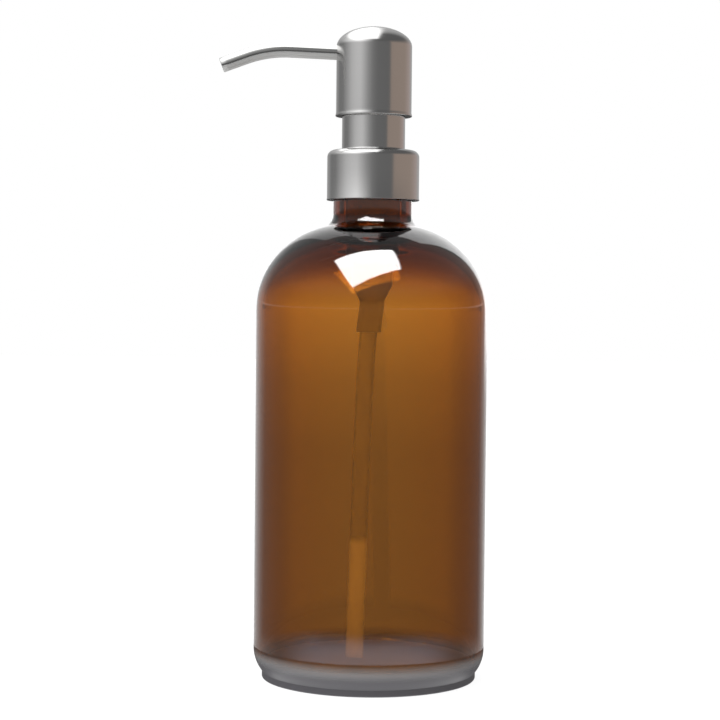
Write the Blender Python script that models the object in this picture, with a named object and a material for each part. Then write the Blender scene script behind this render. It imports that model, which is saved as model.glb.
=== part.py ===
"""Soap pump dispenser: an amber glass Boston-round bottle with a stainless steel pump.

The frame is metres with +Z up. The origin is on the bottle's axis, in the plane of its base ring,
and the spout points along -X.
"""

import math

import bmesh
import bpy
from mathutils import Matrix, Vector

MM = 0.001

# Bottle
BODY_R = 37.5 * MM
GLASS_WALL = 2.3 * MM
HEEL_Z = 9.8 * MM
HEEL_ARC_R = 11.5 * MM
FOOT_R = 34.75 * MM
FOOT_ARC_R = 0.5 * MM
FOOT_TOP_Z = 2.3 * MM
RING_INNER_R = 30.0 * MM
PANEL_R = 29.2 * MM
PANEL_RISE = 0.7 * MM
FLOOR_Z = 4.6 * MM
FLOOR_ARC_R = 3.5 * MM
SHOULDER_Z = 119.5 * MM
SHOULDER_REACH = 29.5 * MM
SHOULDER_RISE = 28.0 * MM
INNER_SHOULDER_RISE = 23.5 * MM
SHOULDER_MEET = 74.7
NECK_R = 12.8 * MM
BORE_R = 9.4 * MM
LIP_Z = 167.8 * MM
LIP_ARC_R = 0.7 * MM

# 28-400 neck finish: one thread start, right-hand
THREAD_PITCH = 4.2333 * MM
THREAD_TURNS = 1.15
THREAD_CREST_R = 13.6 * MM
BOTTLE_THREAD_Z = 159.8 * MM
CAP_THREAD_Z = BOTTLE_THREAD_Z - THREAD_PITCH / 2
THREAD_ROOT_WIDTH = 2.0 * MM
THREAD_CREST_WIDTH = 0.9 * MM
THREAD_START = math.radians(4)
THREAD_STEPS = 43
THREAD_FADE_STEPS = 5

# Clearances
GAP = 0.1 * MM
FIT = 0.15 * MM
LOOSE = 0.3 * MM

# Stack on the lip
GASKET_Z = LIP_Z + GAP
GASKET_T = 0.8 * MM
FLANGE_Z = GASKET_Z + GASKET_T + GAP
FLANGE_T = 0.7 * MM
CAP_ROOF_Z = FLANGE_Z + FLANGE_T + GAP
CAP_ROOF_T = 1.0 * MM
SHELL_ROOF_Z = CAP_ROOF_Z + CAP_ROOF_T + GAP
SHELL_T = 0.4 * MM
COLLAR_TOP_Z = SHELL_ROOF_Z + SHELL_T

# Steel shells
COLLAR_R = 14.9 * MM
COLLAR_Z = 154.9 * MM
COLLAR_ARC_R = 2.3 * MM
COLLAR_HEM_R = 0.12 * MM
SLEEVE_R = 10.2 * MM
SLEEVE_FILLET_R = 0.6 * MM
SLEEVE_TOP_Z = 186.0 * MM
HEAD_R = 12.2 * MM
HEAD_RIM_R = 12.4 * MM
HEAD_RIM_Z = 182.0 * MM
HEAD_RIM_H = 1.3 * MM
DOME_H = 6.5 * MM
DOME_Z = 204.4 * MM

# Threaded cap under the collar shell
CAP_R = COLLAR_R - SHELL_T - GAP
CAP_BORE_R = THREAD_CREST_R + FIT
CAP_Z = COLLAR_Z + LOOSE
CAP_HOLE_R = 7.9 * MM
CAP_THREAD_CREST_R = NECK_R + 2 * GAP

# Pump housing: wide cylinder for the piston above, narrow chamber for the spring below
CYLINDER_R = 7.7 * MM
CYLINDER_OUTER_R = 8.8 * MM
CYLINDER_Z = 141.8 * MM
CHAMBER_R = 5.6 * MM
CHAMBER_OUTER_R = 6.6 * MM
STEP_H = 2.2 * MM
FLANGE_R = 12.6 * MM
STUB_R = 4.0 * MM
STUB_Z = 112.3 * MM
CONE_TOP_Z = 129.0 * MM
CONE_Z = 123.0 * MM
SEAT_Z = 121.8 * MM
SEAT_HOLE_R = 1.5 * MM
SOCKET_Z = 120.9 * MM
VENT_R = 0.6 * MM
VENT_Z = 163.0 * MM

# Dip tube: the stub points it towards the spout side, and it straightens below
DIP_R = 2.85 * MM
DIP_BORE_R = 2.05 * MM
DIP_TOP_Z = SOCKET_Z - LOOSE
DIP_BOTTOM_Z = 6.5 * MM
DIP_LEAN = 0.028
DIP_SWING = 1.5 * MM
DIP_EASE = 12.0 * MM

# Check ball
BALL_R = 2.0 * MM
BALL_LIFT = 1.5 * MM
BALL_Z = SEAT_Z - SEAT_HOLE_R + (BALL_R + 0.05 * MM) * math.sqrt(2)

# Spring seat, with the pin that stops the ball
SPRING_SEAT_Z = 129.7 * MM
SPRING_SEAT_T = 1.0 * MM
SPRING_SEAT_BORE_R = 2.7 * MM
STOP_PIN_R = 0.7 * MM
STOP_PIN_Z = BALL_Z + BALL_R + BALL_LIFT + LOOSE

# Stem and its valve plug
STEM_R = 3.2 * MM
STEM_BORE_R = 1.6 * MM
STEM_Z = 152.2 * MM
STEM_TOP_Z = 199.0 * MM
STEM_STOP_R = 4.7 * MM
STEM_STOP_Z = 156.7 * MM
STEM_STOP_T = 1.2 * MM
PORT_R = 0.8 * MM
PORT_Z = 154.0 * MM
PLUG_R = 4.3 * MM
PLUG_Z = 150.6 * MM
PLUG_T = 1.3 * MM
PLUG_SHAFT_R = 1.0 * MM
PLUG_KNOB_R = STEM_BORE_R - GAP
PLUG_KNOB_Z = 157.0 * MM
PLUG_KNOB_H = 1.6 * MM

# Piston
PISTON_R = CYLINDER_R - 0.06 * MM
PISTON_WAIST_R = 6.7 * MM
PISTON_Z = PLUG_Z + PLUG_T + FIT
PISTON_H = 3.7 * MM

# Return spring
WIRE_R = 0.35 * MM
COIL_R = 3.6 * MM
COIL_TURNS = 7.5
DEAD_TURN_PITCH = 0.8 * MM

# Guide bush
BUSH_R = CYLINDER_R - GAP
BUSH_WALL = 0.9 * MM
BUSH_BORE_R = STEM_R + GAP
BUSH_TUBE_R = 4.6 * MM
BUSH_Z = 158.2 * MM
BUSH_ROOF_Z = 169.4 * MM
BUSH_FLANGE_R = 9.2 * MM
BUSH_FLANGE_T = 0.8 * MM
BUSH_NECK_R = 5.0 * MM
BUSH_TOP_Z = 175.2 * MM

# Head core
CORE_R = HEAD_R - SHELL_T - FIT
CORE_Z = 197.2 * MM
CORE_DOME_H = DOME_H - SHELL_T - FIT
HUB_R = 5.6 * MM
HUB_Z = 186.2 * MM
HUB_BORE_R = STEM_R + FIT
PASSAGE_R = 1.4 * MM

# Spout
SPOUT_R = 2.4 * MM
SPOUT_WALL = 0.3 * MM
LINER_BORE_R = 1.3 * MM
SPOUT_ROOT_X = -6.0 * MM
SPOUT_BEND_X = -27.0 * MM
SPOUT_BEND_Z = 203.2 * MM
SPOUT_RISE = math.radians(2.4)
SPOUT_FALL = math.radians(20.0)
SPOUT_BEND_R = 38.0 * MM
SPOUT_TIP_LENGTH = 8.2 * MM

# Facets of the round pieces
LARGE_SIDES = 40
SMALL_SIDES = 24
TUBE_SIDES = 16
WIRE_SIDES = 6
WIRE_STEPS = 12
SHARP_ANGLE = math.radians(38)

SIDEWAYS = Vector((0.0, 1.0, 0.0))
UPWARD = Vector((0.0, 0.0, 1.0))


def arc(centre_r, centre_z, radius_r, radius_z, start, end, steps):
    """Points of an elliptic arc in the (r, z) plane from start to end degrees, both included."""
    points = []
    for i in range(steps + 1):
        angle = math.radians(start + (end - start) * i / steps)
        points.append((centre_r + radius_r * math.cos(angle), centre_z + radius_z * math.sin(angle)))
    return points


def round_arc(centre_r, centre_z, radius, start, end, steps):
    """Points of a circular arc in the (r, z) plane."""
    return arc(centre_r, centre_z, radius, radius, start, end, steps)


def finish_mesh(name, bm, material):
    """Turn a bmesh into a smooth-shaded object with outward faces."""
    bmesh.ops.recalc_face_normals(bm, faces=bm.faces)
    mesh = bpy.data.meshes.new(name)
    bm.to_mesh(mesh)
    bm.free()
    mesh.shade_smooth()
    mesh.set_sharp_from_angle(angle=SHARP_ANGLE)
    obj = bpy.data.objects.new(name, mesh)
    bpy.context.scene.collection.objects.link(obj)
    if material:
        mesh.materials.append(material)
    return obj


def turned(name, profile, sides, material):
    """Spin a closed (r, z) outline about the Z axis. Points at r = 0 become poles."""
    bm = bmesh.new()
    verts = [bm.verts.new((r, 0.0, z)) for r, z in profile]
    edges = [bm.edges.new(pair) for pair in zip(verts, verts[1:])]
    if profile[0][0] > 0.0:
        edges.append(bm.edges.new((verts[-1], verts[0])))
    bmesh.ops.spin(
        bm,
        geom=verts + edges,
        cent=(0.0, 0.0, 0.0),
        axis=(0.0, 0.0, 1.0),
        angle=math.tau,
        steps=sides,
        use_merge=True,
    )
    bmesh.ops.remove_doubles(bm, verts=bm.verts, dist=0.002 * MM)
    return finish_mesh(name, bm, material)


def add_rings(bm, path, radius, side, sides):
    """Join rings of vertices laid along a path. side is a direction that the path never takes."""
    rings = []
    for i, point in enumerate(path):
        tangent = (path[min(i + 1, len(path) - 1)] - path[max(i - 1, 0)]).normalized()
        across = (side - tangent * side.dot(tangent)).normalized()
        other = tangent.cross(across)
        ring = []
        for j in range(sides):
            angle = math.tau * j / sides
            offset = across * math.cos(angle) + other * math.sin(angle)
            ring.append(bm.verts.new(point + offset * radius))
        rings.append(ring)
    for low, high in zip(rings, rings[1:]):
        for j in range(sides):
            k = (j + 1) % sides
            bm.faces.new((low[j], low[k], high[k], high[j]))
    return rings


def pipe(name, path, outer_r, bore_r, sides, material):
    """A hollow pipe along a path in the XZ plane, open at both ends."""
    bm = bmesh.new()
    outer = add_rings(bm, path, outer_r, SIDEWAYS, sides)
    inner = add_rings(bm, path, bore_r, SIDEWAYS, sides)
    for out_ring, in_ring in ((outer[0], inner[0]), (outer[-1], inner[-1])):
        for j in range(sides):
            k = (j + 1) % sides
            bm.faces.new((out_ring[j], out_ring[k], in_ring[k], in_ring[j]))
    return finish_mesh(name, bm, material)


def wire(name, path, radius, side, sides, material):
    """A solid wire along a path, with flat ends."""
    bm = bmesh.new()
    rings = add_rings(bm, path, radius, side, sides)
    bm.faces.new(rings[0])
    bm.faces.new(rings[-1])
    return finish_mesh(name, bm, material)


def thread_ridge(name, root_r, crest_r, centre_z):
    """A helical ridge whose two ends fade out into the wall. It is a guide for a Boolean union."""
    bm = bmesh.new()
    rings = []
    for i in range(THREAD_STEPS + 1):
        turn = THREAD_TURNS * i / THREAD_STEPS
        angle = THREAD_START + math.tau * turn
        z = centre_z + THREAD_PITCH * turn
        height = min(1.0, (min(i, THREAD_STEPS - i) + 1) / THREAD_FADE_STEPS)
        top_r = root_r + (crest_r - root_r) * (0.45 + 0.55 * height)
        half_root = THREAD_ROOT_WIDTH / 2 * (0.6 + 0.4 * height)
        half_crest = THREAD_CREST_WIDTH / 2 * (0.6 + 0.4 * height)
        section = [(root_r, -half_root), (top_r, -half_crest)]
        section += [(top_r, half_crest), (root_r, half_root)]
        ring = []
        for r, dz in section:
            ring.append(bm.verts.new((r * math.cos(angle), r * math.sin(angle), z + dz)))
        rings.append(ring)
    for low, high in zip(rings, rings[1:]):
        for j in range(4):
            k = (j + 1) % 4
            bm.faces.new((low[j], low[k], high[k], high[j]))
    bm.faces.new(rings[0])
    bm.faces.new(rings[-1])
    return finish_mesh(name, bm, None)


def rod(name, start, end, radius, sides=TUBE_SIDES):
    """A plain cylinder between two points, used to cut or to join."""
    side = UPWARD if abs((end - start).normalized().y) > 0.5 else SIDEWAYS
    return wire(name, [start, end], radius, side, sides, None)


def block(name, low, high):
    """A plain box between two corners, used to join."""
    bm = bmesh.new()
    bmesh.ops.create_cube(bm, size=1.0)
    size = Vector(high) - Vector(low)
    centre = (Vector(high) + Vector(low)) / 2
    bm.transform(Matrix.Translation(centre) @ Matrix.Diagonal((*size, 1.0)))
    return finish_mesh(name, bm, None)


def combine(obj, tool, operation):
    """Cut or join a hidden tool object with an EXACT Boolean modifier."""
    tool.hide_render = True
    tool.display_type = "WIRE"
    modifier = obj.modifiers.new(tool.name, "BOOLEAN")
    modifier.solver = "EXACT"
    modifier.operation = operation
    modifier.object = tool


def make_material(name, colour, roughness, metallic):
    """A Principled material."""
    material = bpy.data.materials.new(name)
    material.use_nodes = True
    shader = material.node_tree.nodes["Principled BSDF"]
    shader.inputs["Base Color"].default_value = (*colour, 1.0)
    shader.inputs["Roughness"].default_value = roughness
    shader.inputs["Metallic"].default_value = metallic
    material.diffuse_color = (*colour, 1.0)
    return material


def shoulder_outline(reach, rise, neck_r, shoulder_steps, neck_steps):
    """Elliptic shoulder from the body up to the neck's fillet, then the fillet itself."""
    points = arc(BODY_R - SHOULDER_REACH, SHOULDER_Z, reach, rise, 0, SHOULDER_MEET, shoulder_steps)
    meet = math.radians(SHOULDER_MEET)
    normal = math.atan2(math.sin(meet) / rise, math.cos(meet) / reach)
    end_r, end_z = points[-1]
    fillet_r = (end_r - neck_r) / (1.0 - math.cos(normal))
    centre_r = end_r + fillet_r * math.cos(normal)
    centre_z = end_z + fillet_r * math.sin(normal)
    points += round_arc(centre_r, centre_z, fillet_r, math.degrees(normal) + 180, 180, neck_steps)[1:]
    return points


def make_bottle():
    """Blown bottle: foot ring with a recessed panel, straight body, round shoulder, threaded neck."""
    foot_meet = math.degrees(math.asin((FOOT_TOP_Z - HEEL_Z) / HEEL_ARC_R))
    inner_r = BODY_R - GLASS_WALL
    inner_reach = SHOULDER_REACH - GLASS_WALL
    outline = [(0.0, PANEL_RISE), (PANEL_R, PANEL_RISE), (RING_INNER_R, 0.0)]
    outline += round_arc(FOOT_R - FOOT_ARC_R, FOOT_ARC_R, FOOT_ARC_R, -90, 0, 3)
    outline += round_arc(BODY_R - HEEL_ARC_R, HEEL_Z, HEEL_ARC_R, foot_meet, 0, 4)
    outline += shoulder_outline(SHOULDER_REACH, SHOULDER_RISE, NECK_R, 8, 4)
    outline += round_arc(NECK_R - LIP_ARC_R, LIP_Z - LIP_ARC_R, LIP_ARC_R, 0, 90, 2)
    outline += round_arc(BORE_R + LIP_ARC_R, LIP_Z - LIP_ARC_R, LIP_ARC_R, 90, 180, 2)
    outline += reversed(shoulder_outline(inner_reach, INNER_SHOULDER_RISE, BORE_R, 7, 3))
    outline += round_arc(inner_r - FLOOR_ARC_R, FLOOR_Z + FLOOR_ARC_R, FLOOR_ARC_R, 0, -90, 3)
    outline += [(0.0, FLOOR_Z)]
    amber = make_material("amber_glass", (0.30, 0.12, 0.02), 0.03, 0.0)
    bottle = turned("bottle", outline, LARGE_SIDES, amber)
    ridge = thread_ridge("bottle_thread_guide", NECK_R - LOOSE, THREAD_CREST_R, BOTTLE_THREAD_Z)
    combine(bottle, ridge, "UNION")
    return [bottle, ridge]


def make_gasket():
    """Flat sealing ring on the bottle's lip."""
    rubber = make_material("gasket_foam", (0.82, 0.82, 0.80), 0.7, 0.0)
    outline = [
        (CYLINDER_OUTER_R + LOOSE, GASKET_Z),
        (FLANGE_R, GASKET_Z),
        (FLANGE_R, GASKET_Z + GASKET_T),
        (CYLINDER_OUTER_R + LOOSE, GASKET_Z + GASKET_T),
    ]
    return [turned("gasket", outline, LARGE_SIDES, rubber)]


def make_housing():
    """Stepped tube with a flange, the piston's cylinder, the ball's seat and the dip tube's angled stub."""
    plastic = make_material("housing_plastic", (0.80, 0.80, 0.78), 0.35, 0.0)
    wall = CHAMBER_OUTER_R - CHAMBER_R
    outline = [
        (DIP_R + FIT, STUB_Z),
        (STUB_R, STUB_Z),
        (STUB_R, SOCKET_Z),
        (STUB_R, CONE_Z),
        (CHAMBER_OUTER_R, CONE_TOP_Z),
        (CHAMBER_OUTER_R, CYLINDER_Z - wall - STEP_H),
        (CYLINDER_OUTER_R, CYLINDER_Z - wall),
        (CYLINDER_OUTER_R, FLANGE_Z),
        (FLANGE_R, FLANGE_Z),
        (FLANGE_R, FLANGE_Z + FLANGE_T),
        (CYLINDER_R, FLANGE_Z + FLANGE_T),
        (CYLINDER_R, CYLINDER_Z),
        (CHAMBER_R, CYLINDER_Z - STEP_H),
        (CHAMBER_R, CONE_TOP_Z),
        (STUB_R - wall, CONE_Z),
        (SEAT_HOLE_R, SEAT_Z),
        (SEAT_HOLE_R, SOCKET_Z),
        (DIP_R + FIT, SOCKET_Z),
    ]
    housing = turned("pump_housing", outline, SMALL_SIDES, plastic)
    for vert in housing.data.vertices:
        vert.co.x += dip_centre(vert.co.z).x
    reach = SIDEWAYS * (CYLINDER_OUTER_R + MM)
    middle = Vector((0.0, 0.0, VENT_Z))
    vents = rod("vent_cutter", middle - reach, middle + reach, VENT_R, 12)
    combine(housing, vents, "DIFFERENCE")
    return [housing, vents]


def dip_centre(z):
    """Centre line of the dip tube: it leaves the socket at an angle and eases into a slight lean."""
    below = max(0.0, SOCKET_Z - z)
    swing = DIP_SWING * (1.0 - math.exp(-below / DIP_EASE))
    return Vector((-DIP_LEAN * below - swing, 0.0, z))


def make_dip_tube():
    """Soft tube from the housing's stub down to the floor."""
    plastic = make_material("dip_tube_plastic", (0.85, 0.85, 0.82), 0.3, 0.0)
    steps = 16
    path = [dip_centre(DIP_TOP_Z + (DIP_BOTTOM_Z - DIP_TOP_Z) * i / steps) for i in range(steps + 1)]
    return [pipe("dip_tube", path, DIP_R, DIP_BORE_R, TUBE_SIDES, plastic)]


def make_spring_seat():
    """Ring that carries the spring, crossed by a bar whose pin stops the check ball."""
    plastic = make_material("seat_plastic", (0.78, 0.78, 0.76), 0.4, 0.0)
    ring_r = CHAMBER_R - FIT
    top_z = SPRING_SEAT_Z + SPRING_SEAT_T
    outline = [
        (SPRING_SEAT_BORE_R, SPRING_SEAT_Z),
        (ring_r, SPRING_SEAT_Z),
        (ring_r, top_z),
        (SPRING_SEAT_BORE_R, top_z),
    ]
    seat = turned("spring_seat", outline, SMALL_SIDES, plastic)
    half_width = 0.5 * MM
    half_length = SPRING_SEAT_BORE_R + 0.6 * MM
    low = (-half_length, -half_width, SPRING_SEAT_Z + 0.1 * MM)
    high = (half_length, half_width, top_z - 0.1 * MM)
    bar = block("seat_bar_guide", low, high)
    pin_top = Vector((0.0, 0.0, top_z - 0.3 * MM))
    pin = rod("seat_pin_guide", Vector((0.0, 0.0, STOP_PIN_Z)), pin_top, STOP_PIN_R, 12)
    combine(seat, bar, "UNION")
    combine(seat, pin, "UNION")
    return [seat, bar, pin]


def make_check_ball():
    """Steel ball that closes the inlet."""
    steel = make_material("ball_steel", (0.6, 0.6, 0.6), 0.15, 1.0)
    outline = round_arc(0.0, BALL_Z, BALL_R, -90, 90, 10)
    outline[0] = (0.0, BALL_Z - BALL_R)
    outline[-1] = (0.0, BALL_Z + BALL_R)
    return [turned("check_ball", outline, TUBE_SIDES, steel)]


def make_stem():
    """Hollow rod with a stop flange and two ports above its foot."""
    plastic = make_material("stem_plastic", (0.80, 0.80, 0.80), 0.35, 0.0)
    outline = [
        (STEM_BORE_R, STEM_Z),
        (STEM_R, STEM_Z),
        (STEM_R, STEM_STOP_Z),
        (STEM_STOP_R, STEM_STOP_Z),
        (STEM_STOP_R, STEM_STOP_Z + STEM_STOP_T),
        (STEM_R, STEM_STOP_Z + STEM_STOP_T),
        (STEM_R, STEM_TOP_Z),
        (STEM_BORE_R, STEM_TOP_Z),
    ]
    stem = turned("stem", outline, SMALL_SIDES, plastic)
    reach = SIDEWAYS * (STEM_R + MM)
    middle = Vector((0.0, 0.0, PORT_Z))
    ports = rod("port_cutter", middle - reach, middle + reach, PORT_R, 12)
    combine(stem, ports, "DIFFERENCE")
    return [stem, ports]


def make_stem_plug():
    """Valve plug: a disc under the piston, and a shaft with a knob held in the stem's bore."""
    plastic = make_material("plug_plastic", (0.75, 0.75, 0.75), 0.4, 0.0)
    knob_top_z = PLUG_KNOB_Z + PLUG_KNOB_H
    outline = [
        (0.0, PLUG_Z),
        (PLUG_R, PLUG_Z),
        (PLUG_R, PLUG_Z + PLUG_T),
        (PLUG_SHAFT_R, PLUG_Z + PLUG_T),
        (PLUG_SHAFT_R, PLUG_KNOB_Z),
        (PLUG_KNOB_R, PLUG_KNOB_Z),
        (PLUG_KNOB_R, knob_top_z),
        (0.0, knob_top_z),
    ]
    return [turned("stem_plug", outline, SMALL_SIDES, plastic)]


def make_piston():
    """Soft piston with a lip at each end and a waist between them."""
    soft = make_material("piston_plastic", (0.86, 0.86, 0.84), 0.5, 0.0)
    lip = 0.7 * MM
    top_z = PISTON_Z + PISTON_H
    outline = [
        (STEM_R + GAP, PISTON_Z),
        (PISTON_R, PISTON_Z),
        (PISTON_R, PISTON_Z + lip),
        (PISTON_WAIST_R, PISTON_Z + 2 * lip),
        (PISTON_WAIST_R, top_z - 2 * lip),
        (PISTON_R, top_z - lip),
        (PISTON_R, top_z),
        (STEM_R + GAP, top_z),
    ]
    return [turned("piston_seal", outline, SMALL_SIDES, soft)]


def spring_path():
    """Centre line of the spring: an even helix between two closed end turns."""
    low_z = SPRING_SEAT_Z + SPRING_SEAT_T + WIRE_R + GAP
    high_z = PLUG_Z - WIRE_R - GAP
    open_turns = COIL_TURNS - 2.0
    open_pitch = (high_z - low_z - 2 * DEAD_TURN_PITCH) / open_turns
    path = []
    for i in range(int(COIL_TURNS * WIRE_STEPS) + 1):
        turn = i / WIRE_STEPS
        z = low_z + DEAD_TURN_PITCH * min(turn, 1.0)
        z += open_pitch * min(max(turn - 1.0, 0.0), open_turns)
        z += DEAD_TURN_PITCH * max(turn - 1.0 - open_turns, 0.0)
        angle = math.tau * turn
        path.append(Vector((COIL_R * math.cos(angle), COIL_R * math.sin(angle), z)))
    return path


def make_spring():
    """Steel return spring between its seat and the valve plug."""
    steel = make_material("spring_steel", (0.55, 0.55, 0.56), 0.25, 1.0)
    return [wire("return_spring", spring_path(), WIRE_R, UPWARD, WIRE_SIDES, steel)]


def make_guide_bush():
    """Bush in the top of the housing: it guides the stem and traps the closure under its flange."""
    plastic = make_material("bush_plastic", (0.80, 0.80, 0.80), 0.35, 0.0)
    flange_z = CAP_ROOF_Z + CAP_ROOF_T + GAP
    outline = [
        (BUSH_BORE_R, BUSH_Z),
        (BUSH_TUBE_R, BUSH_Z),
        (BUSH_TUBE_R, BUSH_ROOF_Z),
        (BUSH_R - BUSH_WALL, BUSH_ROOF_Z),
        (BUSH_R - BUSH_WALL, BUSH_Z),
        (BUSH_R, BUSH_Z),
        (BUSH_R, flange_z),
        (BUSH_FLANGE_R, flange_z),
        (BUSH_FLANGE_R, flange_z + BUSH_FLANGE_T),
        (BUSH_NECK_R, flange_z + BUSH_FLANGE_T),
        (BUSH_NECK_R, BUSH_TOP_Z),
        (BUSH_BORE_R, BUSH_TOP_Z),
    ]
    return [turned("guide_bush", outline, SMALL_SIDES, plastic)]


def make_closure_cap():
    """Threaded cap: its roof is trapped between the housing's flange and the bush's flange."""
    plastic = make_material("cap_plastic", (0.70, 0.70, 0.70), 0.45, 0.0)
    corner_r = COLLAR_ARC_R - SHELL_T - GAP
    top_z = CAP_ROOF_Z + CAP_ROOF_T
    outline = [(CAP_BORE_R, CAP_Z), (CAP_R, CAP_Z)]
    outline += round_arc(CAP_R - corner_r, top_z - corner_r, corner_r, 0, 90, 3)
    outline += [(CAP_HOLE_R, top_z), (CAP_HOLE_R, CAP_ROOF_Z), (CAP_BORE_R, CAP_ROOF_Z)]
    cap = turned("closure_cap", outline, LARGE_SIDES, plastic)
    ridge = thread_ridge("cap_thread_guide", CAP_BORE_R + LOOSE, CAP_THREAD_CREST_R, CAP_THREAD_Z)
    combine(cap, ridge, "UNION")
    return [cap, ridge]


def make_collar_shell():
    """Drawn steel collar with a round shoulder, a flat roof and the sleeve standing on it."""
    steel = make_material("collar_steel", (0.55, 0.54, 0.52), 0.3, 1.0)
    corner_z = COLLAR_TOP_Z - COLLAR_ARC_R
    corner_r = COLLAR_R - COLLAR_ARC_R
    foot_r = SLEEVE_R + SLEEVE_FILLET_R
    foot_z = COLLAR_TOP_Z + SLEEVE_FILLET_R
    inner_sleeve_r = SLEEVE_R - SHELL_T
    hem = COLLAR_HEM_R
    outline = [(COLLAR_R - SHELL_T, COLLAR_Z), (COLLAR_R + hem, COLLAR_Z)]
    outline += [(COLLAR_R + hem, COLLAR_Z + 2 * hem), (COLLAR_R, COLLAR_Z + 4 * hem)]
    outline += round_arc(corner_r, corner_z, COLLAR_ARC_R, 0, 90, 5)
    outline += round_arc(foot_r, foot_z, SLEEVE_FILLET_R, 270, 180, 3)
    outline += [(SLEEVE_R, SLEEVE_TOP_Z), (inner_sleeve_r, SLEEVE_TOP_Z), (inner_sleeve_r, SHELL_ROOF_Z)]
    outline += round_arc(corner_r, corner_z, COLLAR_ARC_R - SHELL_T, 90, 0, 5)
    return [turned("collar_shell", outline, LARGE_SIDES, steel)]


def spout_ray(distance):
    """Point on the spout's straight root, at a distance along it from the start of its bend."""
    along = Vector((math.cos(SPOUT_RISE), 0.0, -math.sin(SPOUT_RISE)))
    return Vector((SPOUT_BEND_X, 0.0, SPOUT_BEND_Z)) + along * distance


def make_head_shell():
    """Drawn steel dome with a rolled rim and the hole for the spout."""
    steel = make_material("head_steel", (0.60, 0.59, 0.57), 0.28, 1.0)
    inner_r = HEAD_R - SHELL_T
    rim_z = HEAD_RIM_Z + HEAD_RIM_H
    bead = 0.15 * MM
    outline = [(inner_r, HEAD_RIM_Z), (HEAD_RIM_R - bead, HEAD_RIM_Z), (HEAD_RIM_R, HEAD_RIM_Z + bead)]
    outline += [(HEAD_RIM_R - 0.02 * MM, HEAD_RIM_Z + 3 * bead), (HEAD_R, rim_z)]
    outline += arc(0.0, DOME_Z, HEAD_R, DOME_H, 0, 90, 8)[:-1] + [(0.0, DOME_Z + DOME_H)]
    inner_dome = arc(0.0, DOME_Z, inner_r, DOME_H - SHELL_T, 90, 0, 6)[1:]
    outline += [(0.0, DOME_Z + DOME_H - SHELL_T)] + inner_dome
    shell = turned_pocket("head_shell", outline, LARGE_SIDES, steel)
    hole = rod("spout_hole_cutter", spout_ray(8 * MM), spout_ray(21 * MM), SPOUT_R + FIT)
    combine(shell, hole, "DIFFERENCE")
    return [shell, hole]


def turned_pocket(name, outline, sides, material):
    """Turn an outline that touches the axis twice: once outside and once inside a hollow."""
    first_pole = next(i for i, point in enumerate(outline) if point[0] == 0.0)
    rolled = outline[first_pole + 1:] + outline[:first_pole + 1]
    return turned(name, rolled, sides, material)


def make_head_core():
    """Moulded core: a plug that fills the dome, a hub on the stem, and the soap's passage."""
    plastic = make_material("core_plastic", (0.80, 0.80, 0.80), 0.4, 0.0)
    socket_z = STEM_TOP_Z + FIT
    outline = [(0.0, socket_z + 0.1 * MM), (HUB_BORE_R, socket_z), (HUB_BORE_R, HUB_Z), (HUB_R, HUB_Z)]
    outline += [(HUB_R, CORE_Z), (CORE_R, CORE_Z)]
    outline += arc(0.0, DOME_Z, CORE_R, CORE_DOME_H, 0, 90, 7)[:-1]
    outline += [(0.0, DOME_Z + CORE_DOME_H)]
    core = turned("head_core", outline, SMALL_SIDES, plastic)
    axis_distance = -SPOUT_BEND_X / math.cos(SPOUT_RISE)
    root_distance = (SPOUT_ROOT_X - SPOUT_BEND_X) / math.cos(SPOUT_RISE)
    passage_top = spout_ray(axis_distance)
    riser = rod("riser_cutter", Vector((0.0, 0.0, socket_z - MM)), passage_top, PASSAGE_R, 12)
    passage_end = spout_ray(axis_distance + MM)
    passage = rod("passage_cutter", spout_ray(root_distance - MM), passage_end, PASSAGE_R, 12)
    socket = rod("socket_cutter", spout_ray(8 * MM), spout_ray(root_distance + FIT), SPOUT_R + FIT)
    for tool in (riser, passage, socket):
        combine(core, tool, "DIFFERENCE")
    return [core, riser, passage, socket]


def spout_path(root_offset, tip_offset):
    """Centre line of the spout: a rising root, one bend and a straight tip."""
    root_distance = (SPOUT_ROOT_X - SPOUT_BEND_X) / math.cos(SPOUT_RISE) - root_offset
    path = [spout_ray(root_distance), spout_ray(root_distance / 2)]
    bend_steps = 9
    centre_x = SPOUT_BEND_X - SPOUT_BEND_R * math.sin(SPOUT_RISE)
    centre_z = SPOUT_BEND_Z - SPOUT_BEND_R * math.cos(SPOUT_RISE)
    for i in range(bend_steps + 1):
        heading = SPOUT_RISE - (SPOUT_RISE + SPOUT_FALL) * i / bend_steps
        x = centre_x + SPOUT_BEND_R * math.sin(heading)
        z = centre_z + SPOUT_BEND_R * math.cos(heading)
        path.append(Vector((x, 0.0, z)))
    along = Vector((-math.cos(SPOUT_FALL), 0.0, -math.sin(SPOUT_FALL)))
    path.append(path[-1] + along * (SPOUT_TIP_LENGTH - tip_offset))
    return path


def make_spout():
    """Bent steel tube and the plastic liner inside it."""
    steel = make_material("spout_steel", (0.65, 0.64, 0.63), 0.12, 1.0)
    plastic = make_material("liner_plastic", (0.8, 0.8, 0.8), 0.4, 0.0)
    bore_r = SPOUT_R - SPOUT_WALL
    tube = pipe("spout_tube", spout_path(0.0, 0.0), SPOUT_R, bore_r, TUBE_SIDES, steel)
    liner_path = spout_path(LOOSE, 1.5 * MM)
    liner = pipe("spout_liner", liner_path, bore_r - GAP, LINER_BORE_R, TUBE_SIDES, plastic)
    return [tube, liner]


def height_of(frame):
    """World height of an empty that may itself be parented."""
    return frame.location.z + height_of(frame.parent) if frame else 0.0


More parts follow.
